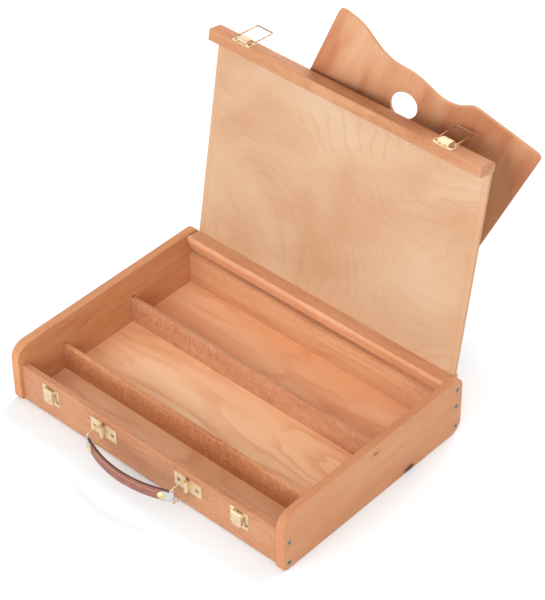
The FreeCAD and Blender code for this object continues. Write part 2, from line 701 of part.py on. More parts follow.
def bail_base(side, x):
    """Plate on the lid's front batten, with a raised housing that the bail's ends turn in."""
    half, inner = size.base_wide / 2, size.housing_wide / 2
    low, high = (x - half, base_face, size.base_low), (x + half, lid_face, size.base_high)
    sheet = plate_with_corners(f"base_{side}", low, high, size.base_corner)
    hood_low = (x - inner, base_face - size.housing_proud, size.housing_low)
    hood = box(f"housing_{side}", hood_low, (x + inner, base_face + size.sheet_lap, size.housing_high))

    def long_outer(edge):
        return straight(edge, "x") and edge.CenterOfMass.y < base_face.value - 1

    hood = rounded(f"hood_{side}", hood, long_outer, size.housing_round)
    bore, bore_start = size.bail_wire + size.pin_play, (x - inner - 1, bail_line, size.bail_high)
    tools = through_holes(f"base_{side}", x, size.base_screw_out, base_face, size.base_screw_high)
    tools.append(rod(f"bail_bore_{side}", bore, size.housing_wide + 2, bore_start, "x"))
    for sign in (-1, 1):
        start = (x + sign * size.notch_out, base_face - size.notch_radius, size.housing_low - 1)
        tools.append(rod(f"housing_notch_{side}{sign}", size.notch_radius, 2, start, "z"))
    solid = fuse(f"base_solid_{side}", [sheet, hood])
    keep(open_lid(cut(f"bail_base_{side}", solid, tools)), f"lid_latch_base_{side}")


def wire(points, bend, radius, closed=False):
    """A round wire through the points, with every corner bent to one radius."""
    count = len(points)
    corners = []
    for i, point in enumerate(points):
        if not closed and i in (0, count - 1):
            corners.append((point, point, point))
            continue
        before = (points[i - 1] - point).normalize()
        after = (points[(i + 1) % count] - point).normalize()
        reach = bend / math.tan(before.getAngle(after) / 2)
        start, end = point + before * reach, point + after * reach
        middle_way = (before + after).normalize()
        centre = point + middle_way * (bend ** 2 + reach ** 2) ** 0.5
        corners.append((start, centre - middle_way * bend, end))
    edges = []
    for i in range(count if closed else count - 1):
        here, there = corners[i], corners[(i + 1) % count]
        edges.append(Part.LineSegment(here[2], there[0]).toShape())
        if closed or i < count - 2:
            edges.append(Part.Arc(*there).toShape())
    path = Part.Wire(edges)
    start = path.Edges[0].firstVertex().Point
    direction = path.Edges[0].tangentAt(path.Edges[0].FirstParameter)
    ring = Part.Wire(Part.Circle(start, direction, radius).toShape())
    return path.makePipeShell([ring], True, False)


def bail(side, x):
    """Rectangular wire bail whose turned-in ends sit in the housing, folded back over the lid."""
    centre = Vector(x.value, bail_line.value, size.bail_high.value)
    half, inset = size.bail_half.value, size.housing_wide.value / 2 - size.bail_end.value
    reach = size.bail_reach.value
    outline = [
        Vector(-inset, 0, 0), Vector(-half, 0, 0), Vector(-half, 0, reach), Vector(half, 0, reach),
        Vector(half, 0, 0), Vector(inset, 0, 0),
    ]
    obj = doc.addObject("Part::Feature", f"bail_{side}")
    obj.Shape = wire(outline, size.bail_bend.value, size.bail_wire.value)
    tilt = Placement(centre, Rotation(AXES["x"], size.bail_tilt.value))
    pivot = Vector(0, size.pivot_back.value, size.pivot_high.value)
    obj.Placement = Placement(Vector(), Rotation(AXES["x"], -size.open_angle.value), pivot) * tilt
    keep(obj, f"latch_bail_{side}")


# ---- Handle -----------------------------------------------------------------------------

def knuckle_windows(name, x, depth):
    """Cutters for the two windows that pressing out the knuckle leaves in its plate."""
    knuckle, plate = size.knuckle_tall / 2, size.handle_plate_tall / 2
    cutters = []
    for word, low, high in (("upper", knuckle, plate), ("lower", -plate, -knuckle)):
        start = (x - size.window_half, catch_face - 1, size.handle_high + low)
        end = (x + size.window_half, front_face + depth, size.handle_high + high)
        cutters.append(box(f"{name}_{word}_window", start, end))
    return cutters


def handle_plate(side, x):
    """Plate with an upright knuckle that the wire loop turns in."""
    half, tall, radius = size.handle_plate_wide / 2, size.handle_plate_tall / 2, size.knuckle_radius
    sheet_low, sheet_high = size.handle_high - tall, size.handle_high + tall
    low, high = size.handle_high - size.knuckle_tall / 2, size.handle_high + size.knuckle_tall / 2
    plate_low, plate_high = (x - half, catch_face, sheet_low), (x + half, front_face, sheet_high)
    sheet = plate_with_corners(f"handle_{side}", plate_low, plate_high, size.sheet_corner)
    barrel = rod(f"knuckle_{side}", radius, size.knuckle_tall, (x, loop_line, low), "z")
    neck_low, neck_high = (x - radius, loop_line, low), (x + radius, catch_face + size.sheet_lap, high)
    neck = box(f"knuckle_neck_{side}", neck_low, neck_high)
    tools = through_holes(f"handle_{side}", x, size.handle_screw_out, catch_face, size.handle_high)
    tools += knuckle_windows(f"plate_{side}", x, dim(1))
    bore, bore_start = size.loop_wire + size.pin_play, (x, loop_line, sheet_low - 1)
    tools.append(rod(f"loop_bore_{side}", bore, size.handle_plate_tall + 2, bore_start, "z"))
    solid = fuse(f"handle_solid_{side}", [sheet, barrel, neck])
    keep(cut(f"handle_plate_{side}", solid, tools), f"handle_plate_{side}")


def handle_loop(side, x):
    """Closed wire loop through the knuckle and the strap's clip."""
    half = size.loop_half.value
    near_bar, far_bar = loop_line.value, bar_line.value
    low, high = size.handle_high.value - half, size.handle_high.value + half
    corners = [
        Vector(x.value, near_bar, low), Vector(x.value, near_bar, high),
        Vector(x.value, far_bar, high), Vector(x.value, far_bar, low),
    ]
    obj = doc.addObject("Part::Feature", f"loop_{side}")
    obj.Shape = wire(corners, size.loop_bend.value, size.loop_wire.value, closed=True)
    keep(obj, f"handle_loop_{side}")


def strap_arc():
    """The strap's centre line: an arc bowed forward between the two far bars."""
    half, sag = size.handle_half.value, size.strap_sag.value
    radius = (half ** 2 + sag ** 2) / (2 * sag)
    centre = Vector(0, bar_line.value - sag + radius, size.handle_high.value)
    return centre, radius


def bent_block(half_thick, start, end, tall):
    """A block that follows the strap's arc between two distances from the left bar."""
    centre, radius = strap_arc()
    sweep = math.asin(size.handle_half.value / radius)
    turns = [start / radius - sweep, end / radius - sweep]
    inner, outer = radius - half_thick, radius + half_thick

    def point(r, turn):
        return Vector(r * math.sin(turn), centre.y - r * math.cos(turn), centre.z - tall / 2)

    middle = sum(turns) / 2
    face = Part.Face(Part.Wire([
        Part.Arc(point(inner, turns[0]), point(inner, middle), point(inner, turns[1])).toShape(),
        Part.LineSegment(point(inner, turns[1]), point(outer, turns[1])).toShape(),
        Part.Arc(point(outer, turns[1]), point(outer, middle), point(outer, turns[0])).toShape(),
        Part.LineSegment(point(outer, turns[0]), point(inner, turns[0])).toShape(),
    ]))
    return face.extrude(Vector(0, 0, tall))


def strap():
    """Leather strap, its two metal end clips and the rivets through them."""
    centre, radius = strap_arc()
    sweep = math.asin(size.handle_half.value / radius)
    length = 2 * radius * sweep
    half, tall, leather_start = size.strap_thick.value / 2, size.strap_tall.value, size.strap_start.value
    leather = bent_block(half, leather_start, length - leather_start, tall)
    clip_half, clip_tall, reach = size.clip_half.value, size.clip_tall.value, size.clip_reach.value
    rivets, clips, shanks = [], [], []
    for sign in (-1, 1):
        # Distances along the arc from this end's bar, turned round for the right end.
        spans = [(0, reach), (leather_start, reach + 1)]
        if sign > 0:
            spans = [(length - far, length - close) for close, far in spans]
        clip_span, pocket_span = spans
        bar = Vector(sign * size.handle_half.value, bar_line.value, centre.z - clip_tall / 2)
        plates = bent_block(clip_half, *clip_span, clip_tall)
        corners = [edge for edge in plates.Edges if near(edge.Length, 2 * clip_half)
                   and abs(edge.CenterOfMass.x - bar.x) > reach / 2]
        plates = plates.makeFillet(size.clip_corner.value, corners)
        shell = plates.fuse(Part.makeCylinder(clip_half, clip_tall, bar))
        bore = size.loop_wire.value + size.clip_play.value
        hole = Part.makeCylinder(bore, clip_tall + 2, bar - Vector(0, 0, 1))
        pocket = bent_block(half, *pocket_span, clip_tall + 2)
        turn = sign * (sweep - (reach - size.rivet_inset.value) / radius)
        outward = Vector(math.sin(turn), -math.cos(turn), 0)
        seat = centre + outward * (radius - clip_half)
        shank = Part.makeCylinder(size.rivet_shank.value, 2 * clip_half, seat, outward)
        clip = shell.cut([hole, pocket, shank]).removeSplitter()
        heads = [dome_head(seat, outward * -1), dome_head(seat + outward * 2 * clip_half, outward)]
        clips.append(clip)
        shanks.append(shank)
        rivets.append(shank.fuse(heads).cut(clip).removeSplitter())
    for label, shape in (("handle_strap", leather.cut(shanks)), ("strap_clip_left", clips[0]),
                         ("strap_clip_right", clips[1]), ("strap_rivets", Part.makeCompound(rivets))):
        obj = doc.addObject("Part::Feature", f"{label}_shape")
        obj.Shape = shape
        keep(obj, label)


def dome_head(seat, outward):
    """A domed rivet head standing on its seat."""
    radius, rise = size.rivet_radius.value, size.rivet_dome.value
    ball = (radius ** 2 + rise ** 2) / (2 * rise)
    sphere = Part.makeSphere(ball, seat + outward * (rise - ball))
    return sphere.common(Part.makeCylinder(radius, rise + 1, seat, outward))


# ---- Palette ----------------------------------------------------------------------------

def palette():
    """Thin wooden palette with a waved short side and an oval thumb hole."""
    wide, long, thick = size.palette_wide.value, size.palette_long.value, size.palette_thick.value
    corner, wave_start, wave_end = size.palette_corner.value, size.wave_start.value, size.wave_end.value
    # The wave: across from the left side, down from the straight part of the top side.
    wave = (
        (wave_start, 0), (47, 11), (63, 18.8), (79, 21), (97, 17.6), (118, 19.2), (139, 22.6), (151, 19.4),
        (161, 11.5), (169, 2.6), (wave_end, 0),
    )
    curve = Part.BSplineCurve()
    curve.interpolate(Points=[Vector(x, -down, 0) for x, down in wave],
                      InitialTangent=Vector(1, -0.05, 0), FinalTangent=Vector(1, 0.1, 0))
    low = -long
    bulge = corner * (1 - 0.5 ** 0.5)

    def side(*ends):
        return Part.LineSegment(*(Vector(*end, 0) for end in ends)).toShape()

    def arc(*points):
        return Part.Arc(*(Vector(*point, 0) for point in points)).toShape()

    outline = Part.Wire([
        side((corner, 0), (wave_start, 0)), curve.toShape(), side((wave_end, 0), (wide - corner, 0)),
        arc((wide - corner, 0), (wide - bulge, -bulge), (wide, -corner)),
        side((wide, -corner), (wide, low + corner)),
        arc((wide, low + corner), (wide - bulge, low + bulge), (wide - corner, low)),
        side((wide - corner, low), (corner, low)),
        arc((corner, low), (bulge, low + bulge), (0, low + corner)),
        side((0, low + corner), (0, -corner)),
        arc((0, -corner), (bulge, -bulge), (corner, 0)),
    ])
    thumb_centre = Vector(size.thumb_across.value, -size.thumb_down.value, 0)
    oval = Part.Ellipse(thumb_centre + Vector(0, size.thumb_half_long.value, 0),
                        thumb_centre + Vector(size.thumb_half_wide.value, 0, 0), thumb_centre)
    through = Vector(0, 0, -thick)
    thumb_hole = Part.Face(Part.Wire(oval.toShape())).extrude(through)
    board = Part.Face(outline).extrude(through).cut(thumb_hole)
    rims = [edge for edge in board.Edges if edge.BoundBox.ZLength < 1e-6]
    board = board.makeFillet(size.palette_edge.value, rims)
    turn = Rotation(AXES["z"], size.palette_yaw.value)
    turn = turn * Rotation(AXES["x"], 90 + size.palette_lean.value)
    turn = turn * Rotation(AXES["z"], -size.palette_roll.value)
    obj = doc.addObject("Part::Feature", "palette_board")
    obj.Shape = board
    foot = turn.multVec(Vector(wide, low, 0))
    stand = Vector(size.palette_foot_right.value, size.palette_foot_back.value, 0)
    obj.Placement = Placement(stand - foot, turn)
    drop = obj.Shape.BoundBox.ZMin
    obj.Placement = Placement(obj.Placement.Base - Vector(0, 0, drop), turn)
    keep(obj, "palette")


side_panel()
front_rail()
back_rail()
bottom_panel()
divider("divider_front", size.front_divider_face)
divider("divider_rear", size.rear_divider_face)
lid_panel()
lid_front_batten()
lid_hinge_batten()
for latch_side, latch_x in LATCHES:
    catch_plate(latch_side, latch_x)
    lever(latch_side, latch_x)
    bail_base(latch_side, latch_x)
    bail(latch_side, latch_x)
for handle_side, handle_x in HANDLES:
    handle_plate(handle_side, handle_x)
    handle_loop(handle_side, handle_x)
strap()
palette()
doc.recompute()

for obj in doc.Objects:
    if "Invalid" in obj.State or "Error" in obj.State:
        raise RuntimeError(f"{obj.Label} failed: {obj.State}")
for obj in parts:
    if obj.Shape.isNull() or not obj.Shape.isValid():
        raise RuntimeError(f"{obj.Label} has no valid shape")

os.makedirs("parts", exist_ok=True)
for obj in parts:
    obj.Shape.exportStep(f"parts/{obj.Label}.step")
    print(f"{obj.Label}: {len(obj.Shape.Solids)} solid(s), {obj.Shape.Volume / 1000:.2f} cm3")
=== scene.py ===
"""Looks of the wooden sketch box: its woods, metals and leather strap, the studio and the camera.

Everything is in metres in the CAD frame: +X right, +Y back, +Z up, the box's underside at z = 0.
"""
import json
import math

import bpy
import numpy as np
from mathutils import Matrix, Vector


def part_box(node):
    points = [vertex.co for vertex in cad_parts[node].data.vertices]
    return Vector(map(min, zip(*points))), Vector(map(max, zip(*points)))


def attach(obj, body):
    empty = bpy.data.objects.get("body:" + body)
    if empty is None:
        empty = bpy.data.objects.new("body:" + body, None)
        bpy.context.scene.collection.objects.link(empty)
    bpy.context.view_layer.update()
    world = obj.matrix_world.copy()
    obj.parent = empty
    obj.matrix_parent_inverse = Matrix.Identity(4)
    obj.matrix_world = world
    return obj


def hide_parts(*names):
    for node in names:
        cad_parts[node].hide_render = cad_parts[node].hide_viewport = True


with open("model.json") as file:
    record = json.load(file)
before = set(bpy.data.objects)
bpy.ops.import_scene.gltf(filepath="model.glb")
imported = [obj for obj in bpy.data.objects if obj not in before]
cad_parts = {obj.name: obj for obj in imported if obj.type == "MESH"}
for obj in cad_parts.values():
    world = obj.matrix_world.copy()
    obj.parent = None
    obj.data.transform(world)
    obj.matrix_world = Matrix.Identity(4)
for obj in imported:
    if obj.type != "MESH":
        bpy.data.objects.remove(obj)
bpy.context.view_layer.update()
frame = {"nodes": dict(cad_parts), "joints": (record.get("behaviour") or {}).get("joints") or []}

MM = 0.001
RIGHT, BACK, UP = (1, 0, 0), (0, 1, 0), (0, 0, 1)
JOINTS = {joint["name"]: joint for joint in frame["joints"]}


# ---- Node helpers -----------------------------------------------------------------------

# Where a ramp's light and middle colours stand, and a colour mix node's sockets by number.
LIGHT_AT, MIDDLE_AT = 0.22, 0.5
MIX_FACTOR, MIX_FIRST, MIX_SECOND, MIX_RESULT = 0, 6, 7, 2


def tint(code):
    """Scene-linear colour of an sRGB hex code."""
    channels = [int(code[i:i + 2], 16) / 255 for i in (0, 2, 4)]
    return (*[c / 12.92 if c <= 0.04045 else ((c + 0.055) / 1.055) ** 2.4 for c in channels], 1.0)


class Graph:
    """One material's node tree, built a call at a time."""

    def __init__(self, name):
        self.material = bpy.data.materials.new(name)
        self.material.use_nodes = True
        self.tree = self.material.node_tree
        self.tree.nodes.clear()
        self.shader = self.node("ShaderNodeBsdfPrincipled")
        output = self.node("ShaderNodeOutputMaterial")
        self.tree.links.new(self.shader.outputs["BSDF"], output.inputs["Surface"])

    def node(self, kind, **settings):
        node = self.tree.nodes.new(kind)
        for name, value in settings.items():
            setattr(node, name, value)
        return node

    def wire(self, socket, value):
        if isinstance(value, bpy.types.NodeSocket):
            self.tree.links.new(value, socket)
        else:
            socket.default_value = value

    def set(self, **values):
        """Sets the shader's inputs; an underscore in a name stands for a space."""
        for name, value in values.items():
            self.wire(self.shader.inputs[name.replace("_", " ")], value)

    # Numbers

    def math(self, operation, *values):
        node = self.node("ShaderNodeMath", operation=operation)
        for socket, value in zip(node.inputs, values):
            self.wire(socket, value)
        return node.outputs[0]

    def add(self, first, *others):
        for other in others:
            first = self.math("ADD", first, other)
        return first

    def times(self, first, *others):
        for other in others:
            first = self.math("MULTIPLY", first, other)
        return first

    def less(self, value, other):
        return self.math("SUBTRACT", value, other)

    def invert(self, value):
        return self.math("SUBTRACT", 1.0, value)

    def weigh(self, *layers):
        """Sum of layers, each a value and its share."""
        return self.add(*[self.times(value, share) for value, share in layers])

    def step(self, value, start, end):
        """0 before start, 1 after end, smooth between."""
        node = self.node("ShaderNodeMapRange", interpolation_type="SMOOTHSTEP")
        self.wire(node.inputs["Value"], value)
        self.wire(node.inputs["From Min"], start)
        self.wire(node.inputs["From Max"], end)
        return node.outputs["Result"]

    # Places

    def coordinates(self, kind="Object"):
        return self.node("ShaderNodeTexCoord").outputs[kind]

    def local(self, board):
        """Texture position in the board's own axes, in metres."""
        mapping = self.node("ShaderNodeMapping")
        self.wire(mapping.inputs["Vector"], self.coordinates())
        self.wire(mapping.inputs["Rotation"], board.turn.to_euler())
        self.wire(mapping.inputs["Location"], -(board.turn @ board.origin))
        return mapping.outputs[0]

    def vector_math(self, operation, vector, other):
        node = self.node("ShaderNodeVectorMath", operation=operation)
        self.wire(node.inputs[0], vector)
        self.wire(node.inputs[1], other)
        return node.outputs[0]

    def stretch(self, vector, factors):
        return self.vector_math("MULTIPLY", vector, factors)

    def shift(self, vector, offset):
        return self.vector_math("ADD", vector, offset)

    def axes(self, vector):
        node = self.node("ShaderNodeSeparateXYZ")
        self.wire(node.inputs[0], vector)
        return node.outputs

    def noise(self, vector, frequency, detail, roughness=0.5, distortion=0.0):
        """Noise from 0 to 1, with its own frequency per metre along each axis."""
        node = self.node("ShaderNodeTexNoise")
        self.wire(node.inputs["Vector"], self.stretch(vector, frequency))
        self.wire(node.inputs["Scale"], 1.0)
        self.wire(node.inputs["Detail"], detail)
        self.wire(node.inputs["Roughness"], roughness)
        self.wire(node.inputs["Distortion"], distortion)
        return node.outputs["Fac"]

    # Colours and relief

    def tones(self, value, colours, dark_at):
        """Light, middle and dark colours along a value."""
        node = self.node("ShaderNodeValToRGB")
        self.wire(node.inputs["Fac"], value)
        elements = node.color_ramp.elements
        elements.new(MIDDLE_AT)
        for element, position, code in zip(elements, (LIGHT_AT, MIDDLE_AT, dark_at), colours):
            element.position = position
            element.color = tint(code)
        return node.outputs["Color"]

    def mix(self, factor, first, second):
        node = self.node("ShaderNodeMix", data_type="RGBA")
        self.wire(node.inputs[MIX_FACTOR], factor)
        self.wire(node.inputs[MIX_FIRST], first)
        self.wire(node.inputs[MIX_SECOND], second)
        return node.outputs[MIX_RESULT]

    def over(self, colour, code, *shares):
        """Lays a colour over another, as strongly as its shares multiplied together."""
        return self.mix(self.times(*shares), colour, tint(code))

    def bump(self, height, depth):
        node = self.node("ShaderNodeBump")
        self.wire(node.inputs["Height"], height)
        self.wire(node.inputs["Strength"], 1.0)
        self.wire(node.inputs["Distance"], depth)
        self.set(Normal=node.outputs["Normal"])


def paint(material, *nodes):
    """Gives CAD nodes one material."""
    for name in nodes:
        slots = frame["nodes"][name].data.materials
        slots.clear()
        slots.append(material)


# ---- Boards -----------------------------------------------------------------------------

class Board:
    """A board's own axes: along the grain, across the face, through the thickness."""

    def __init__(self, along, across, origin=(0, 0, 0)):
        along, across = Vector(along).normalized(), Vector(across).normalized()
        self.turn = Matrix((along, across, along.cross(across)))
        self.origin = Vector(origin)


def centre(node):
    low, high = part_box(node)
    return (low + high) / 2


def lid_board():
    """Axes of the lid's pieces, which stand open at rest."""
    turn = Matrix.Rotation(-math.radians(JOINTS["lid_hinge"]["range_deg"][1]), 3, "X")
    return Board(RIGHT, turn @ Vector((0, -1, 0)), centre("lid_panel"))


def loose_board(node):
    """Axes of a flat board that stands at an angle: the smallest rectangle round its outline."""
    points = np.array([v.co for v in frame["nodes"][node].data.vertices])
    middle = points.mean(0)
    normal = np.linalg.svd(points - middle, full_matrices=False)[2][2]
    side = np.cross(normal, UP)
    side /= np.linalg.norm(side)
    up = np.cross(normal, side)
    flat = np.column_stack(((points - middle) @ side, (points - middle) @ up))

    def extent(angle):
        c, s = math.cos(angle), math.sin(angle)
        turned = flat @ np.array(((c, s), (-s, c)))
        return np.ptp(turned[:, 0]), np.ptp(turned[:, 1])

    quarter_turn = [math.radians(tenth / 10) for tenth in range(900)]
    angle = min(quarter_turn, key=lambda turned: math.prod(extent(turned)))
    if extent(angle)[0] < extent(angle)[1]:
        angle += math.pi / 2
    along = math.cos(angle) * side - math.sin(angle) * up
    return Board(along, np.cross(normal, along), middle)


# ---- Growth lines and knots -------------------------------------------------------------

# A growth line is darkest at LINE_AT between two whole heights, and gone by the end of LINE_FADE.
LINE_AT = 0.9
LINE_FADE = (0.91, 1.0)

# A knot is its place along and across the board, and its size.
KNOTS = ((0.0, 66 * MM, 1.5 * MM), (56 * MM, 4 * MM, 4.5 * MM))
KNOT_SQUEEZE = 0.55             # along the grain, so that it lies as an ellipse
KNOT_RAGGED = 0.9               # unevenness of its edge, in knot sizes
KNOT_EDGE = (350, 350, 350)
KNOT_LIFT = 20 * MM             # how far growth lines bend round it
KNOT_DECAY = 0.3                # how fast that bend dies away, per knot size
KNOT_CORE, KNOT_CORE_CODE, KNOT_CORE_SHARE = (0.9, 1.9), "3E241A", 0.92
KNOT_HALO, KNOT_HALO_CODE, KNOT_HALO_SHARE = (1.2, 5.5), "A8623A", 0.35


def contour_lines(g, height, soft):
    """Growth lines where a height passes whole numbers: darkening slowly, ending sharply."""
    phase = g.math("FRACT", height)
    return g.times(g.step(phase, LINE_AT - soft, LINE_AT), g.invert(g.step(phase, *LINE_FADE)))


def knot_away(g, x, y, knot):
    """Distance from a knot, measured along a stretched ellipse, in knot sizes."""
    along, across, size = knot
    long_square = g.math("POWER", g.times(g.less(x, along), KNOT_SQUEEZE), 2.0)
    wide_square = g.math("POWER", g.less(y, across), 2.0)
    return g.math("DIVIDE", g.math("SQRT", g.add(long_square, wide_square)), size)


def bend_round_knots(g, seeded, x, y, height, knots):
    """The growth height bent round knots, and how much of each point is core and halo."""
    core, halo = 0.0, 0.0
    for knot in knots:
        away = knot_away(g, x, y, knot)
        ragged = g.add(away, g.times(g.noise(seeded, KNOT_EDGE, 2.0), KNOT_RAGGED))
        height = g.add(height, g.times(g.math("EXPONENT", g.times(away, -KNOT_DECAY)), KNOT_LIFT))
        core = g.math("MAXIMUM", core, g.invert(g.step(ragged, *KNOT_CORE)))
        halo = g.math("MAXIMUM", halo, g.invert(g.step(ragged, *KNOT_HALO)))
    return height, core, halo


# ---- Beech ------------------------------------------------------------------------------

# Frequencies per metre along the grain, across the face and through the thickness.
BEECH_CLOUDS = (7, 30, 30)
BEECH_FIBRES = (60, 800, 800)
BEECH_FLAME = (70, 12, 12)
BEECH_WANDER = (5, 20, 20)
BEECH_FADING = (9, 45, 45)
BEECH_RAYS = (190, 750, 750)
BEECH_PATCHES = (25, 60, 60)
BEECH_SEED = (1.0, 0.37, 0.71)
RING_GAP = 13 * MM
RING_SOFT = 0.5                 # share of the gap over which a line darkens
RING_SWAY = 70 * MM             # how far lines wander
RING_LEAN = 0.6                 # how far they move across per distance through the board
LINES_SHOW = (0.42, 0.6)        # edges of the places where growth lines show
DARK_RAYS, PALE_RAYS = (0.55, 0.68), (0.32, 0.45)
RAY_PATCHES = (0.2, 0.7)
# how far a surface turns sideways before the painted shade on the edges fades out
EDGE_SHADE_FACING = (0.25, 0.95)
TONE_BASE = 0.2                 # taken off the tone, so that its middle is the middle colour


def beech(name, board, colours, fleck, flecks=0.3, lines=0.2, flame=0.0, seed=0.0, knots=(), rim=None):
    """Steamed beech: short ray flecks, faint growth lines and soft clouding.

    colours are light, middle and dark. flecks, lines and flame are strengths. rim is the strength
    and the colour of painted shade on the surfaces that don't face sideways, the edges and roundings.
    """
    g = Graph(name)
    place = g.local(board)
    x, y, z = g.axes(place)
    seeded = g.shift(place, [seed * share for share in BEECH_SEED])
    clouds = g.noise(seeded, BEECH_CLOUDS, 2.0)
    fibre = g.noise(seeded, BEECH_FIBRES, 3.0, 0.65)
    band = g.noise(seeded, BEECH_FLAME, 1.0)
    wander = g.noise(seeded, BEECH_WANDER, 1.6)
    height = g.add(y, g.times(z, RING_LEAN), g.times(wander, RING_SWAY))
    height, core, halo = bend_round_knots(g, seeded, x, y, height, knots)
    drawn = g.step(g.noise(seeded, BEECH_FADING, 1.0), *LINES_SHOW)
    line = g.times(contour_lines(g, g.math("DIVIDE", height, RING_GAP), RING_SOFT), drawn)
    tone = g.weigh((clouds, 0.8), (fibre, 0.55), (line, lines), (band, flame))
    colour = g.tones(g.less(tone, TONE_BASE + flame / 2), colours, 0.85)

    rays = g.noise(seeded, BEECH_RAYS, 1.0)
    patches = g.step(g.noise(seeded, BEECH_PATCHES, 1.0), *RAY_PATCHES)
    dark_ray = g.times(g.step(rays, *DARK_RAYS), patches)
    pale_ray = g.invert(g.step(rays, *PALE_RAYS))
    colour = g.over(colour, fleck, dark_ray, flecks)
    colour = g.over(colour, colours[0], pale_ray, flecks * 0.6)
    # painted shade: a darker colour on the surfaces that don't face sideways, the panels' edges and
    # roundings
    if rim:
        strength, code = rim
        sideways = g.math("ABSOLUTE", g.axes(g.coordinates("Normal"))[0])
        colour = g.over(colour, code, g.invert(g.step(sideways, *EDGE_SHADE_FACING)), strength)
    if knots:
        colour = g.over(colour, KNOT_HALO_CODE, halo, KNOT_HALO_SHARE)
        colour = g.over(colour, KNOT_CORE_CODE, core, KNOT_CORE_SHARE)
    g.set(Base_Color=colour, Roughness=g.add(0.46, g.times(fibre, 0.2)), Specular_IOR_Level=0.35)
    g.bump(g.weigh((fibre, 0.7), (dark_ray, -0.5)), 0.05 * MM)
    return g.material


SPECKLE_CLOUDS = (8, 45, 45)
SPECKLE_FIBRES = (90, 500, 500)
SPECKLE_DASHES = (380, 105, 380)
SPECKLE_SPOTS = (330, 190, 330)
LEAN_FREQUENCY = (60, 60, 60)
LEAN = 5.0                      # how far the dashes are pushed aside, in their own frequency
SPOT_EDGES = (0.55, 0.66)
SPOT_PATCHES = (0.42, 0.62)
PALE_DASHES = (0.3, 0.46)
SPECKLE_TONE_BASE = 0.4


def speckled_beech(name, board, colours, fleck, seed):
    """Quarter-sawn beech of the dividers: crowded ray flecks standing across the face."""
    g = Graph(name)
    place = g.shift(g.local(board), (seed, 0.0, 0.0))
    clouds = g.noise(place, SPECKLE_CLOUDS, 3.0)
    fibre = g.noise(place, SPECKLE_FIBRES, 2.0, 0.6)
    leaning = g.shift(g.stretch(place, SPECKLE_DASHES), g.times(g.noise(place, LEAN_FREQUENCY, 1.0), LEAN))
    dashes = g.noise(leaning, (1, 1, 1), 2.0, 0.6)
    tone = g.weigh((clouds, 0.8), (fibre, 0.4), (dashes, 0.6))
    colour = g.tones(g.less(tone, SPECKLE_TONE_BASE), colours, 0.82)
    spots = g.step(g.noise(place, SPECKLE_SPOTS, 2.0, 0.7), *SPOT_EDGES)
    crowding = g.add(0.08, g.times(g.step(clouds, *SPOT_PATCHES), 0.45))
    colour = g.over(colour, fleck, spots, crowding)
    colour = g.over(colour, colours[0], g.invert(g.step(dashes, *PALE_DASHES)), 0.35)
    g.set(Base_Color=colour, Roughness=g.add(0.5, g.times(fibre, 0.2)), Specular_IOR_Level=0.3)
    g.bump(g.add(dashes, g.times(spots, -0.5)), 0.08 * MM)
    return g.material


# ---- Plywood ----------------------------------------------------------------------------

VENEER_FIBRES = (45, 900, 900)
VENEER_PORES = (250, 1500, 1500)
VENEER_FADING = (9, 12, 2)
VENEER_SEED = (1.0, 0.6, 0.3)
PORE_EDGES = (0.58, 0.7)
CONTOUR_SHOW = (0.34, 0.6)
RAGGED_FINER, CLOUDS_FINER = 3.5, 1.6
CORE_HALF = (0.20, 0.26)        # half height of the inner plies, in thicknesses
CORE_GRIT = (900, 900, 300)
CORE_CODE = "C48A5E"
SEAM_SOFT, SEAM_FROM, SEAM_TO = 0.5 * MM, 0.3 * MM, 0.8 * MM


def finer(frequency, factor):
    return tuple(factor * part for part in frequency)


def veneer(name, board, colours, line, thick, figure, rings, lines, soft, clouds, seed,
           slant=(0.0, 0.0), streak=0.3, seam=None, warm_tone_and_shade=None):
    """Rotary-cut face veneer over layered plywood: nested contour lines, clouding, fine fibres.

    colours are light, middle and dark. figure is the frequency of the hills that the contour lines
    run round, rings is the number of lines on a hill, and lines and clouds are strengths. A seam is
    the distance of a joined strip from the middle and its colour. warm_tone_and_shade is where a warmer,
    darker tone starts and ends across the board, its strength and its colour: partly the board's own
    tone, partly painted shade of the deep rear tray.
    """
    g = Graph(name)
    place = g.local(board)
    x, y, z = g.axes(place)
    seeded = g.shift(place, [seed * share for share in VENEER_SEED])
    hills = g.noise(seeded, figure, 0.0)
    ragged = g.noise(seeded, finer(figure, RAGGED_FINER), 2.0)
    height = g.add(hills, g.times(ragged, 0.13), g.times(x, slant[0]), g.times(y, slant[1]))
    contour = contour_lines(g, g.times(height, rings), soft)
    drawn = g.step(g.noise(seeded, VENEER_FADING, 1.0), *CONTOUR_SHOW)
    broad = g.noise(seeded, finer(figure, CLOUDS_FINER), 2.0, distortion=0.4)
    fibre = g.noise(seeded, VENEER_FIBRES, 3.0, 0.65)
    pores = g.step(g.noise(seeded, VENEER_PORES, 1.0), *PORE_EDGES)
    tone = g.weigh((broad, clouds), (fibre, streak), (pores, 0.06))
    colour = g.tones(g.less(tone, (clouds + streak - 1.0) / 2), colours, 0.8)
    colour = g.over(colour, line, contour, drawn, lines)
    # partly the board's own tone, partly painted shade: a warmer, darker tone across the board from start
    # to end
    if warm_tone_and_shade:
        start, end, strength, code = warm_tone_and_shade
        colour = g.over(colour, code, g.step(y, start, end), g.add(0.4, broad), strength)
    if seam:
        away, code = seam
        edge = g.math("ABSOLUTE", x)
        strip = g.step(edge, away - SEAM_SOFT, away)
        groove = g.times(strip, g.invert(g.step(edge, away + SEAM_FROM, away + SEAM_TO)))
        colour = g.over(colour, code, strip, 0.55)
        colour = g.over(colour, line, groove, 0.45)
    inner = g.invert(g.step(g.math("ABSOLUTE", z), CORE_HALF[0] * thick, CORE_HALF[1] * thick))
    colour = g.over(colour, CORE_CODE, inner, g.add(0.4, g.noise(place, CORE_GRIT, 2.0)))
    g.set(Base_Color=colour, Roughness=g.add(0.44, g.times(fibre, 0.2)), Specular_IOR_Level=0.35)
    g.bump(g.add(fibre, g.times(pores, -0.4)), 0.04 * MM)
    return g.material


# ---- The box's woods --------------------------------------------------------------------

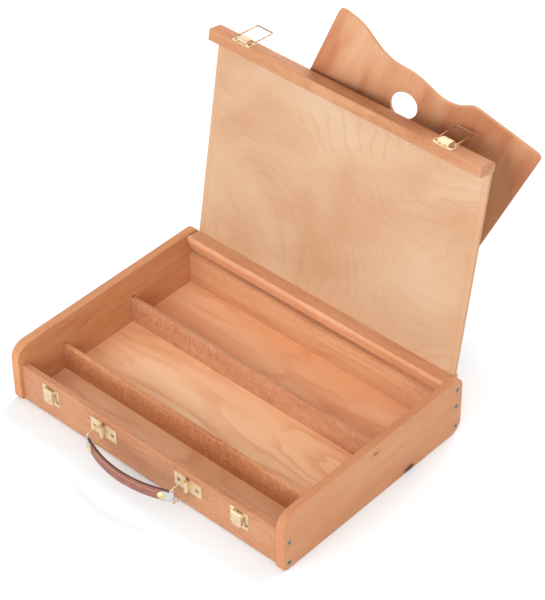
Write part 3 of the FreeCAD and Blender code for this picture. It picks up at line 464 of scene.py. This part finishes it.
SIDE_BOARD, RAIL_BOARD = Board(BACK, UP), Board(RIGHT, UP)
FLOOR_THICK, LID_THICK, PALETTE_THICK = 5.5 * MM, 3.5 * MM, 4 * MM
LID_SEAM = 181.5 * MM

# rim gives the side panels painted shade on their edges and roundings
side_left = beech("beech_side_left", SIDE_BOARD, ("D49D6F", "C78B5F", "AF6E3C"), "9E613C",
                  lines=0.12, flecks=0.1, seed=3.1, rim=(0.3, "A2613F"))
side_right = beech("beech_side_right", SIDE_BOARD, ("CC9367", "C3865D", "B97749"), "995431",
                   lines=0.12, flecks=0.1, seed=1.7, knots=KNOTS, rim=(0.4, "9E5E3C"))
front_rail = beech("beech_front_rail", RAIL_BOARD, ("BA8764", "B17956", "A26643"), "864E2F",
                   flecks=0.5, seed=5.3)
back_rail = beech("beech_back_rail", RAIL_BOARD, ("D8A880", "CE956E", "BD8157"), "9C613D", seed=7.9)
divider_front = speckled_beech("beech_divider_front", RAIL_BOARD, ("CD9971", "C18258", "AE6B42"), "824C2F",
                               seed=0.4)
divider_rear = speckled_beech("beech_divider_rear", RAIL_BOARD, ("C99B79", "BE8562", "AC714A"), "78452C",
                              seed=2.2)
# the floor's warmer, darker tone towards the back is partly its own, partly painted shade of the rear tray
floor_ply = veneer("floor_veneer", Board(RIGHT, BACK, centre("bottom_panel")),
                   ("FDD8AF", "F3C297", "E7AD7E"), "DC9268", FLOOR_THICK, figure=(2.6, 12, 2), rings=12,
                   lines=0.5, soft=0.5, clouds=1.3, seed=4.4, warm_tone_and_shade=(20 * MM, 60 * MM, 0.45, "E58F5A"))
lid_ply = veneer("lid_veneer", lid_board(), ("C4A588", "BF9978", "B58966"), "AD7C58", LID_THICK,
                 figure=(5, 6, 2), rings=17, lines=0.21, soft=0.3, clouds=1.3, seed=8.6,
                 slant=(1.3, 2.6), seam=(LID_SEAM, "C19673"))
batten_front = beech("beech_batten_front", lid_board(), ("C18D69", "B8815A", "A96D46"), "8B5232",
                     seed=9.3, flame=0.5)
batten_hinge = beech("beech_batten_hinge", lid_board(), ("DEA781", "D3976F", "C28157"), "9F623E",
                     seed=11.9)
palette_ply = veneer("palette_veneer", loose_board("palette"), ("C59774", "BD8661", "AD6F4C"), "A1613E",
                     PALETTE_THICK, figure=(4, 22, 2), rings=4, lines=0.3, soft=0.7, clouds=1.4,
                     seed=6.1, streak=0.4)

paint(side_left, "side_panel_left")
paint(side_right, "side_panel_right")
paint(front_rail, "front_rail")
paint(back_rail, "back_rail")
paint(divider_front, "divider_front")
paint(divider_rear, "divider_rear")
paint(floor_ply, "bottom_panel")
paint(lid_ply, "lid_panel")
paint(batten_front, "lid_front_batten")
paint(batten_hinge, "lid_hinge_batten")
paint(palette_ply, "palette")


# ---- Metals -----------------------------------------------------------------------------

METAL_CLOUDS = (160, 160, 160)
METAL_SCRATCHES = (3000, 500, 900)
METAL_EDGES = (0.3, 0.7)


def metal(name, light, dark, roughness):
    """Bare metal: faint clouding, fine scratches and a little unevenness."""
    g = Graph(name)
    place = g.coordinates()
    clouds = g.noise(place, METAL_CLOUDS, 3.0)
    fine = g.noise(place, METAL_SCRATCHES, 2.0)
    shine = g.step(g.weigh((clouds, 0.8), (fine, 0.2)), *METAL_EDGES)
    g.set(Base_Color=g.mix(shine, tint(dark), tint(light)), Metallic=1.0)
    g.set(Roughness=g.add(roughness, g.times(fine, 0.15)))
    g.bump(g.add(clouds, g.times(fine, 0.3)), 0.05 * MM)
    return g.material


paint(metal("brass_sheet", "F0DBBC", "E2C6A0", 0.36),
      "latch_plate_left", "latch_plate_right", "latch_lever_left", "latch_lever_right",
      "latch_pin_left", "latch_pin_right", "handle_plate_left", "handle_plate_right",
      "lid_latch_base_left", "lid_latch_base_right")
paint(metal("brass_wire_loops", "EBD3A4", "D2B37E", 0.26), "handle_loop_left", "handle_loop_right")
paint(metal("bail_wire", "CDA07E", "9C785C", 0.32), "latch_bail_left", "latch_bail_right")
paint(metal("brass_screws", "B7A17C", "85755A", 0.3),
      "latch_plate_screws", "handle_plate_screws", "lid_latch_screws")
paint(metal("rivet_brass", "F0DBA4", "DCBF84", 0.34), "strap_rivets")
paint(metal("steel_screws", "A5A49A", "7D7C72", 0.38), "case_screws", "pivot_screws")
paint(metal("nickel", "E0DEDA", "C4C0B8", 0.3), "strap_clip_left", "strap_clip_right")


# ---- Leather and thread -----------------------------------------------------------------

LEATHER_CELLS = 1500.0
CREASE_EDGES = (0.0, 0.25)
# colour of the painted shade in the grain's creases
CREASE_SHADE_CODE = "5E352B"
WORN_FREQUENCY = (90, 90, 220)
WORN_EDGES = (0.35, 0.7)
THREAD_TWIST = (2500, 2500, 900)


def leather(name, light, dark, roughness):
    """Smooth brown leather: pebbled grain, soft creases and worn lighter patches."""
    g = Graph(name)
    place = g.coordinates()
    cells = g.node("ShaderNodeTexVoronoi", feature="DISTANCE_TO_EDGE")
    g.wire(cells.inputs["Vector"], place)
    g.wire(cells.inputs["Scale"], LEATHER_CELLS)
    grain = g.step(cells.outputs["Distance"], *CREASE_EDGES)
    worn = g.noise(place, WORN_FREQUENCY, 3.0, 0.6)
    colour = g.mix(g.step(worn, *WORN_EDGES), tint(dark), tint(light))
    # painted shade: the grain's creases are darkened
    colour = g.over(colour, CREASE_SHADE_CODE, g.invert(grain), 0.25)
    g.set(Base_Color=colour, Roughness=g.add(roughness, g.times(worn, 0.15)), Specular_IOR_Level=0.45)
    g.bump(g.add(g.times(grain, 0.6), worn), 0.12 * MM)
    return g.material


def thread(name, light, dark):
    """Twisted thread."""
    g = Graph(name)
    twist = g.noise(g.coordinates(), THREAD_TWIST, 2.0)
    g.set(Base_Color=g.mix(twist, tint(dark), tint(light)), Roughness=g.add(0.6, g.times(twist, 0.2)))
    g.bump(twist, 0.05 * MM)
    return g.material


# ---- Leather strap ----------------------------------------------------------------------

STRAP_THICK = 3.6 * MM
STRAP_END = 3.6 * MM            # leather's end from the bar, inside the clip
STRAP_STATIONS = 121
CLIP_REACH = 14.0 * MM
FACE_STEPS = 41
FACE_INSET = 0.08 * MM
RIM_ROUND, RIM_DROP = 0.9 * MM, 0.5 * MM
FOLD_ROUND = 2.6 * MM
SWELL = 0.5 * MM
SWELL_START, SWELL_FULL = CLIP_REACH + 1 * MM, CLIP_REACH + 14 * MM
GROOVE_DEPTH, GROOVE_WIDTH = 0.3 * MM, 0.6 * MM
SLIT_HALF, SLIT_DEPTH = 0.3 * MM, 0.7 * MM
SLIT_FACES = 4                  # round the top: rim, slit's two sides, rim
STITCH_INSET = 4.3 * MM
STITCH_PITCH = 3.3 * MM
STITCH_LONG = 2.7 * MM
STITCH_OUT = 0.12 * MM          # the stitch's middle over the groove
STITCH_HIGH, STITCH_WIDE = 0.28 * MM, 0.42 * MM
STITCH_TIP = 0.02               # square of a tip's girth, as a share of the middle's
STITCH_RINGS, STITCH_SIDES = 7, 8
STITCH_CLEAR = CLIP_REACH + 3 * MM


class StrapLine:
    """The strap's centre line, an arc between the two handle loops' far bars."""

    def __init__(self):
        low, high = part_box("handle_strap")
        left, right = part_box("handle_loop_left"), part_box("handle_loop_right")
        half = (centre("handle_loop_right").x - centre("handle_loop_left").x) / 2
        bar_wire = (right[1].x - right[0].x) / 2
        bar_y = left[0].y + bar_wire
        sag = bar_y - (low.y + STRAP_THICK / 2)
        self.radius = (half ** 2 + sag ** 2) / (2 * sag)
        self.middle = Vector((0, bar_y - sag + self.radius, (low.z + high.z) / 2))
        self.sweep = math.asin(half / self.radius)
        self.tall = high.z - low.z
        self.length = 2 * self.radius * self.sweep

    def point(self, along, out, up):
        """A point at a distance along the arc from the left bar, outward and up from its middle."""
        turn = along / self.radius - self.sweep
        reach = self.radius + out
        return self.middle + Vector((math.sin(turn) * reach, -math.cos(turn) * reach, up))


strap_line = StrapLine()


def smooth(value, start, end):
    share = min(1.0, max(0.0, (value - start) / (end - start)))
    return share * share * (3 - 2 * share)


def rounding(value, start, end):
    """How far a quarter circle has dropped, from 0 at the start to 1 at the end."""
    return 1 - math.sqrt(max(0.0, 1 - smooth(value, start, end) ** 2))


def padding(along):
    """How far the strap's faces swell, from 0 beside the clips to 1 along the middle."""
    return smooth(min(along, strap_line.length - along), SWELL_START, SWELL_FULL)


def face_height(up, along):
    """Outward height of the strap's face over its middle: a fold below, a stitched rim above."""
    half = STRAP_THICK / 2 - FACE_INSET
    edge = strap_line.tall / 2
    seam = edge - STITCH_INSET
    rim = RIM_DROP * rounding(up, edge - RIM_ROUND, edge)
    fold = half * rounding(-up, edge - FOLD_ROUND, edge)
    swell = SWELL * max(0.0, 1 - ((2 * up + edge - seam) / (edge + seam)) ** 2) * padding(along)
    groove = GROOVE_DEPTH * math.exp(-((up - seam) / GROOVE_WIDTH) ** 2)
    return half - rim - fold + swell - groove


def strap_section(along):
    """Outline of the strap at one place: folded along its foot, two raw edges along its top."""
    edge = strap_line.tall / 2
    ups = [edge * math.sin(math.radians(angle)) for angle in np.linspace(-90, 90, FACE_STEPS)]
    outer = [(face_height(up, along), up) for up in ups]
    inner = [(-face_height(up, along), up) for up in reversed(ups)]
    return outer + [(SLIT_HALF, edge), (0.0, edge - SLIT_DEPTH), (-SLIT_HALF, edge)] + inner


def skin(rings):
    """Points and faces of a tube through rings of equally many points, closed at both ends."""
    count, last = len(rings[0]), len(rings) - 1
    points = [point for ring in rings for point in ring]
    faces = []
    for i in range(last):
        for j in range(count):
            k = (j + 1) % count
            faces.append((i * count + j, i * count + k, (i + 1) * count + k, (i + 1) * count + j))
    faces.append(tuple(reversed(range(count))))
    faces.append(tuple(last * count + j for j in range(count)))
    return points, faces


def new_piece(name, points, faces, *materials):
    """Adds a mesh object to the scene."""
    mesh = bpy.data.meshes.new(name)
    mesh.from_pydata(points, [], faces)
    for material in materials:
        mesh.materials.append(material)
    piece = bpy.data.objects.new(name, mesh)
    bpy.context.scene.collection.objects.link(piece)
    return piece


def make_strap():
    stations = np.linspace(STRAP_END, strap_line.length - STRAP_END, STRAP_STATIONS)
    rings = [[strap_line.point(along, out, up) for out, up in strap_section(along)] for along in stations]
    points, faces = skin(rings)
    strap = new_piece("leather_strap", points, faces,
                      leather("strap_leather", "975F4E", "84503F", 0.42),
                      leather("strap_raw_edge", "6A3832", "552A27", 0.45))
    first_raw, first_end = FACE_STEPS - 1, len(faces) - 2
    for number, polygon in enumerate(strap.data.polygons):
        raw = first_raw <= number % len(rings[0]) < first_raw + SLIT_FACES
        polygon.material_index = int(raw or number >= first_end)
        polygon.use_smooth = True
    return strap


def stitch(along, side, up):
    """One thread stitch, a flattened capsule lying in the groove."""
    middle = face_height(up, along) + STITCH_OUT
    rings = []
    for t in np.linspace(-1, 1, STITCH_RINGS):
        girth = math.sqrt(max(STITCH_TIP, 1 - abs(t) ** 3))
        ring = []
        for j in range(STITCH_SIDES):
            angle = 2 * math.pi * j / STITCH_SIDES
            out = middle + math.sin(angle) * STITCH_HIGH * girth
            rise = up + math.cos(angle) * STITCH_WIDE * girth
            ring.append(strap_line.point(along + t * STITCH_LONG / 2, side * out, rise))
        rings.append(ring)
    return skin(rings)


def make_stitching():
    """A row of stitches along the strap's top, on both faces."""
    start, end = STITCH_CLEAR, strap_line.length - STITCH_CLEAR
    count = int((end - start) / STITCH_PITCH)
    up = strap_line.tall / 2 - STITCH_INSET
    points, faces = [], []
    for side in (-1, 1):
        for i in range(count + 1):
            more, joined = stitch(start + (end - start) * i / count, side, up)
            faces += [tuple(len(points) + corner for corner in face) for face in joined]
            points += more
    stitching = new_piece("strap_stitching", points, faces, thread("strap_thread", "CFAA9A", "B58B7C"))
    for polygon in stitching.data.polygons:
        polygon.use_smooth = True
    return stitching


leather_strap = make_strap()
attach(leather_strap, "strap")
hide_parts("handle_strap")
strap_stitching = make_stitching()
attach(strap_stitching, "strap")


# ---- Studio -----------------------------------------------------------------------------

FLOOR_HALF = 6.0
PAPER_CLOUDS = (3, 3, 3)
PAPER_DARK, PAPER_LIGHT = (0.82, 0.86, 0.88, 1), (0.84, 0.88, 0.90, 1)
WORLD_STRENGTH = 0.75
LIGHT_AIM = Vector((0, 0, 0.1))

# Each light's place, its size in metres and its power in watts.
LIGHTS = {
    "front_light": ((-0.25, -2.3, 1.08), 1.8, 44.0),
    "right_light": ((1.7, -1.5, 1.35), 1.7, 19.0),
    "back_light": ((0, 2.0, 1.6), 2.0, 50.0),
}


def make_floor():
    g = Graph("floor_paper")
    clouds = g.noise(g.coordinates(), PAPER_CLOUDS, 2.0)
    g.set(Base_Color=g.mix(clouds, PAPER_DARK, PAPER_LIGHT), Roughness=0.9, Specular_IOR_Level=0.1)
    corners = [(x * FLOOR_HALF, y * FLOOR_HALF, 0) for x, y in ((-1, -1), (1, -1), (1, 1), (-1, 1))]
    floor = new_piece("studio_floor", corners, [(0, 1, 2, 3)], g.material)


def make_light(name, place, size, power):
    data = bpy.data.lights.new(name, "AREA")
    data.shape = "SQUARE"
    data.size = size
    data.energy = power
    light = bpy.data.objects.new(name, data)
    light.location = place
    light.rotation_mode = "QUATERNION"
    light.rotation_quaternion = (LIGHT_AIM - Vector(place)).to_track_quat("-Z", "Y")
    bpy.context.scene.collection.objects.link(light)


def make_world():
    world = bpy.data.worlds.new("studio")
    world.use_nodes = True
    background = world.node_tree.nodes["Background"]
    background.inputs["Color"].default_value = (1.0, 1.0, 1.0, 1.0)
    background.inputs["Strength"].default_value = WORLD_STRENGTH
    bpy.context.scene.world = world


# ---- Camera -----------------------------------------------------------------------------

# Angles in degrees, the azimuth from the front towards the right; distances in metres.
AZIMUTH = 42.676
ELEVATION = 40.385
ROLL = -0.729
DISTANCE = 2.4094
TARGET = Vector((0.0615, -0.0012, 0.1902))
LENS = 140.11                   # millimetres
SHIFT = (-0.0041, 0.0092)       # shares of the picture's longer side
CLIPPING = (0.1, 50.0)


def make_camera():
    azimuth, elevation = math.radians(AZIMUTH), math.radians(ELEVATION)
    right = Vector((math.cos(azimuth), math.sin(azimuth), 0))
    back = Vector((math.sin(azimuth) * math.cos(elevation), -math.cos(azimuth) * math.cos(elevation),
                   math.sin(elevation)))
    axes = Matrix((right, back.cross(right), back)).transposed()
    data = bpy.data.cameras.new("camera")
    data.lens = LENS
    data.shift_x, data.shift_y = SHIFT
    data.clip_start, data.clip_end = CLIPPING
    camera = bpy.data.objects.new("camera", data)
    camera.rotation_mode = "QUATERNION"
    camera.rotation_quaternion = (axes @ Matrix.Rotation(math.radians(ROLL), 3, "Z")).to_quaternion()
    camera.location = TARGET + back * DISTANCE
    bpy.context.scene.collection.objects.link(camera)
    bpy.context.scene.camera = camera


make_floor()
make_world()
for name, (place, size, power) in LIGHTS.items():
    make_light(name, place, size, power)
make_camera()
bpy.context.scene.view_settings.view_transform = "Standard"
